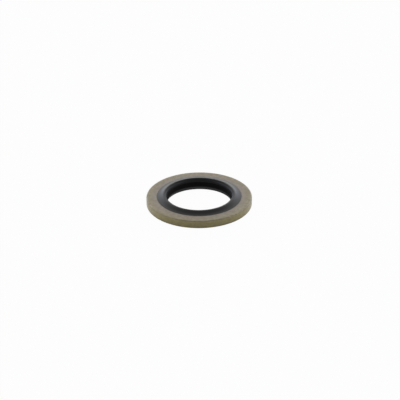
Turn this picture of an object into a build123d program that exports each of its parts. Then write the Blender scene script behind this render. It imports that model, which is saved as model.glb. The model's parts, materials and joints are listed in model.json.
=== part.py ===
from build123d import *
import math
import os

# Bonded seal for a threaded fitting: a flat steel ring with a rubber sealing bead moulded into its bore.
# The origin is on the axis at mid-thickness, and +Z is the axis. All sizes are in millimetres.

# Steel ring, blanked from sheet
ring_width = 2.3  # from its bore to its outer edge
sheet_thickness = 1.5
die_roll_radius = 0.25  # the punch side's rounded outer edge, which lies up
burr_edge_chamfer = 0.08  # the light break on the other outer edge
bond_chamfer = 0.3  # on both edges of the ring's bore, filled by the rubber

# Rubber bead
seal_bore_diameter = 12.2  # clears a 12 mm thread
bead_width = 1.6  # from the seal's bore to the ring's bore
lip_foot_slope = 12  # degrees, where the lip starts from the steel's face
lip_foot_share = 0.3  # of the lip's width, which has the foot's slope
lip_foot_blend_radius = 1.8  # between the foot and the flank
lip_flank_slope = 28  # degrees, from the foot up towards the crest
lip_crest_radius = 0.55  # rounds the lip from its flank into the bore wall

# Radii and heights that follow from these, with the line on each steel face where the rubber begins
bore_radius = seal_bore_diameter / 2
ring_bore_radius = bore_radius + bead_width
bond_line_radius = ring_bore_radius + bond_chamfer
outer_radius = ring_bore_radius + ring_width
face_height = sheet_thickness / 2
foot_width = lip_foot_share * (bond_line_radius - bore_radius)
foot_radius = bond_line_radius - foot_width
foot_height = face_height + foot_width * math.tan(math.radians(lip_foot_slope))
sharp_lip_height = foot_height + (foot_radius - bore_radius) * math.tan(math.radians(lip_flank_slope))


def bond_outline():
    """The wall that steel and rubber share, from the lower face to the upper, as (radius, height) points."""
    wall_height = face_height - bond_chamfer
    return [
        (bond_line_radius, -face_height),
        (ring_bore_radius, -wall_height),
        (ring_bore_radius, wall_height),
        (bond_line_radius, face_height),
    ]


def metal_ring():
    """Flat ring: chamfered bore, rounded upper outer edge and nearly sharp lower one, as blanking leaves them."""
    with BuildPart() as ring:
        with BuildSketch(Plane.XZ) as section:
            with BuildLine():
                Polyline(
                    *bond_outline(),
                    (outer_radius, face_height),
                    (outer_radius, -face_height),
                    close=True,
                )
            make_face()
            lower_edge, upper_edge = section.vertices().group_by(Axis.X)[-1].sort_by(Axis.Y)
            chamfer(lower_edge, burr_edge_chamfer)
            fillet(upper_edge, die_roll_radius)
        revolve(axis=Axis.Z)
    return ring.part


def corners_at(section, radius):
    """The section's two corners at a radius, one above and one below mid-thickness."""
    return [corner for corner in section.vertices() if abs(corner.X - radius) < 1e-6]


def rubber_seal():
    """Moulded bead: it fills the ring's chamfered bore, and rises above both faces in a lip with a rounded crest."""
    with BuildPart() as bead:
        with BuildSketch(Plane.XZ) as section:
            with BuildLine():
                Polyline(
                    *bond_outline(),
                    (foot_radius, foot_height),
                    (bore_radius, sharp_lip_height),
                    (bore_radius, -sharp_lip_height),
                    (foot_radius, -foot_height),
                    close=True,
                )
            make_face()
            fillet(corners_at(section, foot_radius), lip_foot_blend_radius)
            fillet(corners_at(section, bore_radius), lip_crest_radius)
        revolve(axis=Axis.Z)
    return bead.part


os.makedirs("parts", exist_ok=True)
for name, make_piece in (("metal_ring", metal_ring), ("rubber_seal", rubber_seal)):
    export_step(make_piece(), f"parts/{name}.step")
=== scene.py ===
import bmesh
import bpy
import json
import math
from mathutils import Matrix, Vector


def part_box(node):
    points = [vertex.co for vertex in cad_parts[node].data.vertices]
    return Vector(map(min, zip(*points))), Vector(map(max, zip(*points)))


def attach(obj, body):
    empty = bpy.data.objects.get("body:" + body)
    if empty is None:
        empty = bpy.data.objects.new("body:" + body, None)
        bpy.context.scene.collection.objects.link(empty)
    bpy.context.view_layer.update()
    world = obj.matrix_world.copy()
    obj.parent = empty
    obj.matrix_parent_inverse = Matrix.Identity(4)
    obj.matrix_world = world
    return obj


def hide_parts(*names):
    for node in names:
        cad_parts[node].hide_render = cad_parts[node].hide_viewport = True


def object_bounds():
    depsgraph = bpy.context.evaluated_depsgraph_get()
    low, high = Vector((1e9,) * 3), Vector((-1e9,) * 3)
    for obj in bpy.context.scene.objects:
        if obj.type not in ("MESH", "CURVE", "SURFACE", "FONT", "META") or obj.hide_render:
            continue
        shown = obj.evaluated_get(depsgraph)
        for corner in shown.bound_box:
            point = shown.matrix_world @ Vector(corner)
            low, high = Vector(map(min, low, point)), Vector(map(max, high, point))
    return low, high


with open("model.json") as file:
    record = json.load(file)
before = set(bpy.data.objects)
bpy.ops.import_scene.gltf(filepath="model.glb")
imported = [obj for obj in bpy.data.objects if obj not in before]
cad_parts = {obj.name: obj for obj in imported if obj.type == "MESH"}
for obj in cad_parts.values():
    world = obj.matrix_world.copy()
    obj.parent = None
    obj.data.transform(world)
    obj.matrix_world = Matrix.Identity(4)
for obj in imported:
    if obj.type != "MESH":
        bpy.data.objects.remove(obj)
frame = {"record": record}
cad_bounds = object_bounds()


# Steel ring
# A flat ring blanked from 1.5 mm steel sheet, which rounds its upper outer edge and leaves the
# lower one nearly sharp. It is then zinc plated and passivated, which gives a satin film,
# pinkish in places and olive in others.
outer_radius, _, face_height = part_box("metal_ring")[1]
bond_line_radius, _, crest_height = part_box("rubber_seal")[1]
bond_chamfer = 0.3e-3
ring_bore_radius = bond_line_radius - bond_chamfer
die_roll_radius, die_roll_steps = 0.25e-3, 12
burr_edge_chamfer, burr_edge_steps = 0.08e-3, 4
turn_steps = 360
longest_edge, long_edge_cuts = 0.2e-3, 7
weld_distance = 1e-7
sharp_angle = math.radians(30)

# The wall that steel and rubber share, from the lower face to the upper, as radii and heights.
bond_outline = [
    (bond_line_radius, -face_height),
    (ring_bore_radius, bond_chamfer - face_height),
    (ring_bore_radius, face_height - bond_chamfer),
    (bond_line_radius, face_height),
]


def section_points(section, points):
    """Adds (radius, height) points to a section as vertices in the XZ plane."""
    return [section.verts.new((radius, 0, height)) for radius, height in points]


def turned_piece(name, section, node):
    """Turns a section of edges round the axis, and makes it the piece that stands for a node."""
    long_edges = [edge for edge in section.edges if edge.calc_length() > longest_edge]
    bmesh.ops.subdivide_edges(section, edges=long_edges, cuts=long_edge_cuts)
    bmesh.ops.spin(
        section,
        geom=section.verts[:] + section.edges[:],
        cent=(0, 0, 0),
        axis=(0, 0, 1),
        dvec=(0, 0, 0),
        angle=2 * math.pi,
        steps=turn_steps,
        use_merge=True,
        use_duplicate=False,
    )
    bmesh.ops.remove_doubles(section, verts=section.verts, dist=weld_distance)
    bmesh.ops.recalc_face_normals(section, faces=section.faces)
    for face in section.faces:
        face.smooth = True
    for edge in section.edges:
        edge.smooth = edge.calc_face_angle(0) < sharp_angle
    mesh = bpy.data.meshes.new(name)
    section.to_mesh(mesh)
    section.free()
    piece = bpy.data.objects.new(name, mesh)
    bpy.context.scene.collection.objects.link(piece)
    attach(piece, "root")
    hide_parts(node)
    return piece


ring_section = bmesh.new()
ring_corners = section_points(
    ring_section, bond_outline + [(outer_radius, face_height), (outer_radius, -face_height)]
)
ring_section.faces.new(ring_corners)
upper_corner, lower_corner = ring_corners[-2:]
die_roll = (upper_corner, die_roll_radius, die_roll_steps)
burr_edge = (lower_corner, burr_edge_chamfer, burr_edge_steps)
for corner, size, steps in (die_roll, burr_edge):
    bmesh.ops.bevel(
        ring_section,
        geom=[corner],
        offset=size,
        segments=steps,
        profile=0.5,
        affect="VERTICES",
        material=-1,
    )
bmesh.ops.delete(ring_section, geom=ring_section.faces[:], context="FACES_ONLY")
steel_ring = turned_piece("steel_ring", ring_section, "metal_ring")


def new_node(tree, kind, inputs=None, **settings):
    """Adds a shader node with its settings. Each input gets a value, or a link from a node."""
    node = tree.nodes.new("ShaderNode" + kind)
    for setting, value in settings.items():
        setattr(node, setting, value)
    for socket, value in (inputs or {}).items():
        if isinstance(value, bpy.types.NodeSocket):
            tree.links.new(value, node.inputs[socket])
        else:
            node.inputs[socket].default_value = value
    return node


def maths(tree, operation, *values):
    """The result of one Math node."""
    return new_node(tree, "Math", dict(enumerate(values)), operation=operation).outputs[0]


def ramp(tree, value, span, ends=(0.0, 1.0)):
    """A value that goes smoothly from one end to the other as the given one crosses a span."""
    inputs = {
        "Value": value,
        "From Min": span[0],
        "From Max": span[1],
        "To Min": ends[0],
        "To Max": ends[1],
    }
    return new_node(tree, "MapRange", inputs, interpolation_type="SMOOTHSTEP").outputs["Result"]


# A Mix node's sockets have the same names for each kind of data, so they are given by number.
def blended(tree, amount, under, over):
    """A colour that goes from the one under to the one over, with an amount from 0 to 1."""
    return new_node(tree, "Mix", {0: amount, 6: under, 7: over}, data_type="RGBA").outputs[2]


def noise(tree, position, detail, grains=1.0):
    """A value that wanders smoothly round 0.5, with so many grains to the unit of position."""
    inputs = {"Vector": position, "Scale": grains, "Detail": detail}
    return new_node(tree, "TexNoise", inputs).outputs["Fac"]


def vector_maths(tree, operation, *values):
    """The vector that one Vector Math node gives."""
    return new_node(tree, "VectorMath", dict(enumerate(values)), operation=operation).outputs[0]


def outward(tree, position):
    """The vector from the axis straight out to a position."""
    return vector_maths(tree, "MULTIPLY", position, (1, 1, 0))


def new_group(name, inputs, outputs):
    """A node group with the named kinds of socket, what it is given, and where its results go."""
    group = bpy.data.node_groups.new(name, "ShaderNodeTree")
    for sockets, side in ((inputs, "INPUT"), (outputs, "OUTPUT")):
        for socket, kind in sockets.items():
            group.interface.new_socket(socket, in_out=side, socket_type="NodeSocket" + kind)
    given = group.nodes.new("NodeGroupInput").outputs
    result = group.nodes.new("NodeGroupOutput").inputs
    return group, given, result


# Both finishes have a fine grain that the fingers feel, and broad clouds in their colour.
surface_grain, given, result = new_group(
    "moulded_and_plated_grain",
    {"Position": "Vector", "Grains per Metre": "Float", "Clouds per Metre": "Float"},
    {"Grain": "Float", "Clouds": "Float"},
)
grain_detail, clouds_detail = 3.0, 2.0
fine = noise(surface_grain, given["Position"], grain_detail, given["Grains per Metre"])
clouds = noise(surface_grain, given["Position"], clouds_detail, given["Clouds per Metre"])
surface_grain.links.new(fine, result["Grain"])
surface_grain.links.new(clouds, result["Clouds"])

# Both change with the distance from the axis and with the height.
seal_place, given, result = new_group(
    "place_on_seal", {"Position": "Vector"}, {"Radius": "Float", "Height": "Float"}
)
from_axis = outward(seal_place, given["Position"])
radius = new_node(seal_place, "VectorMath", {0: from_axis}, operation="LENGTH").outputs["Value"]
height = new_node(seal_place, "SeparateXYZ", {0: given["Position"]}).outputs["Z"]
seal_place.links.new(radius, result["Radius"])
seal_place.links.new(height, result["Height"])


def new_material(name, grains_per_metre, clouds_per_metre):
    """A material with its tree, shader, position on the piece, grain and place on the seal."""
    material = bpy.data.materials.new(name)
    material.use_nodes = True
    tree = material.node_tree
    position = new_node(tree, "TexCoord").outputs["Object"]
    pattern = {
        "Position": position,
        "Grains per Metre": grains_per_metre,
        "Clouds per Metre": clouds_per_metre,
    }
    grain = new_node(tree, "Group", pattern, node_tree=surface_grain).outputs
    place = new_node(tree, "Group", {"Position": position}, node_tree=seal_place).outputs
    return material, tree, tree.nodes["Principled BSDF"], position, grain, place


# Colours of the film on the faces and on the cut wall, and of what lies over it.
pinkish_inside, olive_inside = (0.385, 0.282, 0.245, 1), (0.29, 0.278, 0.22, 1)
pinkish_outside, olive_outside = (0.424, 0.31, 0.196, 1), (0.305, 0.301, 0.176, 1)
wall_below, wall_above = (0.29, 0.24, 0.08, 1), (0.265, 0.215, 0.068, 1)
# The rubbed colour is partly wear from tumbling and partly a painted highlight on the rounded
# edge.
rubbed_zinc_and_edge_highlight, scratched_zinc = (0.52, 0.46, 0.35, 1), (0.42, 0.38, 0.3, 1)
bright_grain, dark_spot = (0.4, 0.355, 0.255, 1), (0.14, 0.115, 0.068, 1)
primer = (0.02, 0.019, 0.017, 1)

# Radii and heights, in metres, between which one finish gives way to the next.
face_film_changes = (8.3e-3, 9.5e-3)
wall_film_changes = (-0.6e-3, 0.3e-3)
rubbing_and_highlight_starts = (outer_radius - 0.32e-3, outer_radius - 0.12e-3)
wall_starts = (outer_radius - 0.15e-3, outer_radius - 0.02e-3)
tear_starts = (-0.1e-3, -0.35e-3)
primer_ends = (bond_line_radius + 0.02e-3, bond_line_radius + 0.16e-3)

# How strongly each one shows, and how fine it is.
most_rubbed_and_highlit, most_scratched, scratch_depth = 0.9, 0.35, 0.5
primer_shows, spots_show, grain_shows = (0.55, 0.0), (0.0, 0.3), (0.0, 0.4)
spots_per_metre = 1500
scratch_turns_lengths_widths = (
    (15, 2.2e-3, 0.05e-3),
    (70, 1.4e-3, 0.04e-3),
    (128, 1.8e-3, 0.05e-3),
)
scratch_crests = (0.6, 0.72)
rolling_lines_per_metre = (700, 8000, 8000)
punch_lines_per_radian, punch_lines_per_metre = 110, 700
fine_detail, line_detail, scratch_detail = 3.0, 2.0, 1.0
wander_middle, wander_most = (0.35, 0.65), (0.3, 0.7)
film_roughness, film_gloss, film_gloss_roughness = (0.38, 0.62), (0.6, 0.4), 0.35
plating_metallic = 0.65
plating_relief = {"Strength": 0.4, "Distance": 0.02e-3}

zinc, tree, shader, position, grain, place = new_material(
    "passivated_zinc", grains_per_metre=5500, clouds_per_metre=300
)
fine, clouds, radius, height = grain["Grain"], grain["Clouds"], place["Radius"], place["Height"]
inside = blended(tree, clouds, pinkish_inside, olive_inside)
outside = blended(tree, clouds, pinkish_outside, olive_outside)
film = blended(tree, ramp(tree, radius, face_film_changes), inside, outside)

# The cut wall has a yellower film, and the rounded edge above it is rubbed pale by tumbling.
# That pale edge is also a painted highlight on the rounding.
at_wall = ramp(tree, radius, wall_starts)
on_face = maths(tree, "SUBTRACT", 1.0, at_wall)
wall_film = blended(tree, ramp(tree, height, wall_film_changes), wall_below, wall_above)
film = blended(tree, at_wall, film, wall_film)
rubbed_and_highlit = ramp(tree, radius, rubbing_and_highlight_starts, (0.0, most_rubbed_and_highlit))
film = blended(tree, maths(tree, "MULTIPLY", rubbed_and_highlit, on_face), film, rubbed_zinc_and_edge_highlight)

# Dark spots, bright grains and fine scratches lie over the film, and primer shows along the
# bond line.
spots = noise(tree, position, fine_detail, spots_per_metre)
film = blended(tree, ramp(tree, spots, wander_middle, spots_show), film, dark_spot)
film = blended(tree, ramp(tree, fine, wander_middle, grain_shows), film, bright_grain)
scratches = 0.0
for turn, length, width in scratch_turns_lengths_widths:
    along = {"Rotation": (0, 0, math.radians(turn)), "Scale": (length, width, width)}
    drawn = new_node(tree, "Mapping", {"Vector": position, **along}, vector_type="TEXTURE")
    drawn_out = drawn.outputs[0]
    scratch = ramp(tree, noise(tree, drawn_out, scratch_detail), scratch_crests)
    scratches = maths(tree, "MAXIMUM", scratches, scratch)
scratches = maths(tree, "MULTIPLY", scratches, on_face)
film = blended(tree, maths(tree, "MULTIPLY", scratches, most_scratched), film, scratched_zinc)
film = blended(tree, ramp(tree, radius, primer_ends, primer_shows), film, primer)
tree.links.new(film, shader.inputs["Base Color"])
tree.links.new(ramp(tree, fine, wander_most, film_roughness), shader.inputs["Roughness"])
tree.links.new(ramp(tree, spots, wander_middle, film_gloss), shader.inputs["Coat Weight"])
shader.inputs["Metallic"].default_value = plating_metallic
shader.inputs["Coat Roughness"].default_value = film_gloss_roughness

# The faces keep the rolled sheet's straight lines. The wall has the punch's upright ones, which
# are deeper low down.
rolled = new_node(tree, "Mapping", {"Vector": position, "Scale": rolling_lines_per_metre})
sheet_lines = noise(tree, rolled.outputs[0], line_detail)
facing = vector_maths(tree, "NORMALIZE", outward(tree, position))
lines_round = {0: facing, "Scale": punch_lines_per_radian}
round_wall = new_node(tree, "VectorMath", lines_round, operation="SCALE").outputs[0]
lines_down = maths(tree, "MULTIPLY", height, punch_lines_per_metre)
down_wall = new_node(tree, "CombineXYZ", {"Z": lines_down}).outputs[0]
wall_lines = noise(tree, vector_maths(tree, "ADD", round_wall, down_wall), fine_detail)
lines = new_node(tree, "Mix", {0: at_wall, 2: sheet_lines, 3: wall_lines}).outputs[0]
lines = maths(tree, "MULTIPLY_ADD", scratches, -scratch_depth, lines)
torn = maths(tree, "MULTIPLY", at_wall, ramp(tree, height, tear_starts))
relief = maths(tree, "MULTIPLY_ADD", lines, maths(tree, "ADD", torn, 1.0), fine)
relief_bump = new_node(tree, "Bump", {"Height": relief, **plating_relief})
tree.links.new(relief_bump.outputs["Normal"], shader.inputs["Normal"])
steel_ring.data.materials.append(zinc)


# Rubber bead
# Black nitrile rubber, moulded into the ring's bore and bonded to it as it cures. It fills the
# chamfers there and stands above both faces of the steel in a sloping lip with a rounded crest.
bore_radius = frame["record"]["mounts"][0]["dims"]["r_mm"] / 1000
lip_foot_slope = math.radians(12)
lip_foot_share = 0.3
lip_foot_blend_radius = 1.8e-3
lip_flank_slope = math.radians(28)
lip_crest_radius = 0.55e-3
crest_steps, foot_steps = 24, 8
halves_weld_distance = 1e-6
foot_width = lip_foot_share * (bond_line_radius - bore_radius)
foot_corner = (bond_line_radius - foot_width, face_height + foot_width * math.tan(lip_foot_slope))
crest_centre = (bore_radius + lip_crest_radius, 0, crest_height - lip_crest_radius)

seal_section = bmesh.new()
chain = section_points(seal_section, [(ring_bore_radius, 0)] + bond_outline[2:] + [foot_corner])
foot = chain[-1]
bore_middle, wall_top = section_points(
    seal_section, [(bore_radius, 0), (bore_radius, crest_height - lip_crest_radius)]
)
crest = bmesh.ops.spin(
    seal_section,
    geom=[wall_top],
    cent=crest_centre,
    axis=(0, 1, 0),
    dvec=(0, 0, 0),
    angle=math.pi / 2 + lip_flank_slope,
    steps=crest_steps,
    use_merge=False,
    use_duplicate=False,
)
chain.append(crest["geom_last"][0])
for start, end in zip(chain, chain[1:]):
    seal_section.edges.new((start, end))
seal_section.edges.new((bore_middle, wall_top))
bmesh.ops.bevel(
    seal_section,
    geom=[foot],
    offset=lip_foot_blend_radius * math.tan((lip_flank_slope - lip_foot_slope) / 2),
    segments=foot_steps,
    profile=0.5,
    affect="VERTICES",
    material=-1,
)
upper_half = seal_section.verts[:] + seal_section.edges[:]
bmesh.ops.mirror(seal_section, geom=upper_half, merge_dist=halves_weld_distance, axis="Z")
rubber_bead = turned_piece("rubber_bead", seal_section, "rubber_seal")

# The lips have a smooth skin from the polished mould, which fades into the duller bore wall
# between them.
soot_black, worn_black = (0.0035, 0.0035, 0.0038, 1), (0.0065, 0.0065, 0.0072, 1)
lip_skin_starts = (bore_radius + 0.05e-3, bore_radius + 0.75e-3)
upper_skin_starts, upper_skin_gloss = (0.45e-3, 1.0e-3), (0.03, 0.55)
lower_skin_starts, lower_skin_gloss = (-0.3e-3, -0.75e-3), (0.03, 0.8)
rubber_roughness, rubber_shine = (0.5, 0.7), 0.03
skin_roughness, skin_ior = 0.3, 1.6
rubber_relief = {"Strength": 0.2, "Distance": 0.01e-3}

rubber, tree, shader, position, grain, place = new_material(
    "nitrile_rubber", grains_per_metre=9000, clouds_per_metre=700
)
fine, clouds, radius, height = grain["Grain"], grain["Clouds"], place["Radius"], place["Height"]
tree.links.new(blended(tree, clouds, soot_black, worn_black), shader.inputs["Base Color"])
upper_skin = ramp(tree, height, upper_skin_starts, upper_skin_gloss)
lower_skin = ramp(tree, height, lower_skin_starts, lower_skin_gloss)
crest_skin = maths(tree, "MAXIMUM", upper_skin, lower_skin)
skin = maths(tree, "MAXIMUM", crest_skin, ramp(tree, radius, lip_skin_starts))
tree.links.new(skin, shader.inputs["Coat Weight"])
tree.links.new(ramp(tree, fine, wander_most, rubber_roughness), shader.inputs["Roughness"])
shader.inputs["Specular IOR Level"].default_value = rubber_shine
shader.inputs["Coat Roughness"].default_value = skin_roughness
shader.inputs["Coat IOR"].default_value = skin_ior
relief_bump = new_node(tree, "Bump", {"Height": fine, **rubber_relief})
tree.links.new(relief_bump.outputs["Normal"], shader.inputs["Normal"])
rubber_bead.data.materials.append(rubber)


# Floor
# A sheet of white paper under the lower lip. The camera sees it as white ground, and so does the
# gloss on the seal, except in a painted shadow round the seal that reaches further in front, where
# the paper shows only its own shading.
paper_white, paper_roughness, paper_shine = (0.8, 0.8, 0.8, 1), 0.9, 0.0
ground_share = 0.97
floor_half_width = 1.0
# Where the painted shadow in the gloss lies: round a centre a little in front of the seal.
painted_shadow_centre = (0, -3e-3, 0)
painted_shadow_ends = (8.5e-3, 10.5e-3)
bore_painted_shadow_starts = (5e-3, 6.2e-3)
floor_mesh = bpy.data.meshes.new("floor")
floor_shape = bmesh.new()
bmesh.ops.create_grid(floor_shape, x_segments=1, y_segments=1, size=floor_half_width)
bmesh.ops.translate(floor_shape, verts=floor_shape.verts, vec=(0, 0, cad_bounds[0][2]))
floor_shape.to_mesh(floor_mesh)
floor_shape.free()
floor = bpy.data.objects.new("floor", floor_mesh)
bpy.context.scene.collection.objects.link(floor)

paper = bpy.data.materials.new("white_paper")
paper.use_nodes = True
tree = paper.node_tree
shader = tree.nodes["Principled BSDF"]
shader.inputs["Base Color"].default_value = paper_white
shader.inputs["Roughness"].default_value = paper_roughness
shader.inputs["Specular IOR Level"].default_value = paper_shine
position = new_node(tree, "TexCoord").outputs["Object"]
# The white glow in the gloss stops in the painted shadow round the seal and comes back in the
# middle of the bore.
from_painted_shadow = new_node(tree, "VectorMath", {0: position, 1: painted_shadow_centre}, operation="DISTANCE")
from_middle = new_node(tree, "VectorMath", {0: position}, operation="LENGTH")
outside_seal = ramp(tree, from_painted_shadow.outputs["Value"], painted_shadow_ends)
inside_bore = ramp(tree, from_middle.outputs["Value"], bore_painted_shadow_starts, (1.0, 0.0))
glow_shows = maths(tree, "MAXIMUM", outside_seal, inside_bore)
ray = new_node(tree, "LightPath").outputs
mirrored = maths(tree, "ADD", ray["Is Glossy Ray"], ray["Is Transmission Ray"])
seen = maths(tree, "MULTIPLY_ADD", mirrored, glow_shows, ray["Is Camera Ray"])
ground = new_node(tree, "Emission", {"Strength": 1.0})
share = maths(tree, "MULTIPLY", seen, ground_share)
surface = new_node(tree, "MixShader", {0: share, 1: shader.outputs[0], 2: ground.outputs[0]})
tree.links.new(surface.outputs[0], tree.nodes["Material Output"].inputs["Surface"])
floor.data.materials.append(paper)


# Studio light
# One soft white tent all round, brightest low down, where its two sides are slightly cool. It is
# dimmer overhead and in front, which leaves the rubber dark there and gives the lip its two
# crescents of light.
white_light, cool_light = (1, 1, 1, 1), (0.92, 0.97, 1.1, 1)
overhead_heights, overhead_strength = (0.3, 0.95), (1.12, 0.32)
horizon_heights, horizon_strength = (-0.05, 0.25), (0.25, 0.0)
front_to_side, front_share = (-0.75, -0.1), (0.35, 1.0)
side_begins, side_heights = (0.15, 0.4), (0.6, 0.25)

studio = bpy.data.worlds.new("studio")
bpy.context.scene.world = studio
studio.use_nodes = True
tree = studio.node_tree
towards_sky = new_node(tree, "TexCoord").outputs["Generated"]
direction = new_node(tree, "SeparateXYZ", {0: towards_sky}).outputs
overhead = ramp(tree, direction["Z"], overhead_heights, overhead_strength)
horizon = ramp(tree, direction["Z"], horizon_heights, horizon_strength)
in_front = ramp(tree, direction["Y"], front_to_side, front_share)
strength = maths(tree, "MULTIPLY", maths(tree, "ADD", overhead, horizon), in_front)
beside = ramp(tree, maths(tree, "ABSOLUTE", direction["X"]), side_begins)
low_beside = maths(tree, "MULTIPLY", beside, ramp(tree, direction["Z"], side_heights))
tent = tree.nodes["Background"]
tree.links.new(blended(tree, low_beside, white_light, cool_light), tent.inputs["Color"])
tree.links.new(strength, tent.inputs["Strength"])

# The camera sees the tent as plain white, like the ground.
seen_tent = new_node(tree, "Background", {"Color": white_light, "Strength": ground_share})
by_camera = new_node(tree, "LightPath").outputs["Is Camera Ray"]
all_seen = new_node(tree, "MixShader", {0: by_camera, 1: tent.outputs[0], 2: seen_tent.outputs[0]})
tree.links.new(all_seen.outputs[0], tree.nodes["World Output"].inputs["Surface"])


# Camera
# It looks down on the seal from the front with a long lens. Its distance, elevation and slight
# roll were fitted to the photograph's ellipses.
camera_distance = 0.3
camera_elevation = math.radians(27.95)
camera_roll = math.radians(-0.36)
camera_aim = (0.152e-3, -0.368e-3, 0.057e-3)
sensor_width_mm, lens_length_mm = 36, 142.5
nearest_seen = 0.01
camera_data = bpy.data.cameras.new("camera")
camera_data.sensor_width = sensor_width_mm
camera_data.lens = lens_length_mm
camera_data.clip_start = nearest_seen
camera = bpy.data.objects.new("camera", camera_data)
camera.location = (
    camera_aim[0],
    camera_aim[1] - camera_distance * math.cos(camera_elevation),
    camera_aim[2] + camera_distance * math.sin(camera_elevation),
)
camera.rotation_euler = (math.pi / 2 - camera_elevation, 0, 0)
camera.rotation_euler.rotate_axis("Z", camera_roll)
bpy.context.scene.collection.objects.link(camera)
bpy.context.scene.camera = camera

bpy.context.scene.view_settings.view_transform = "Standard"
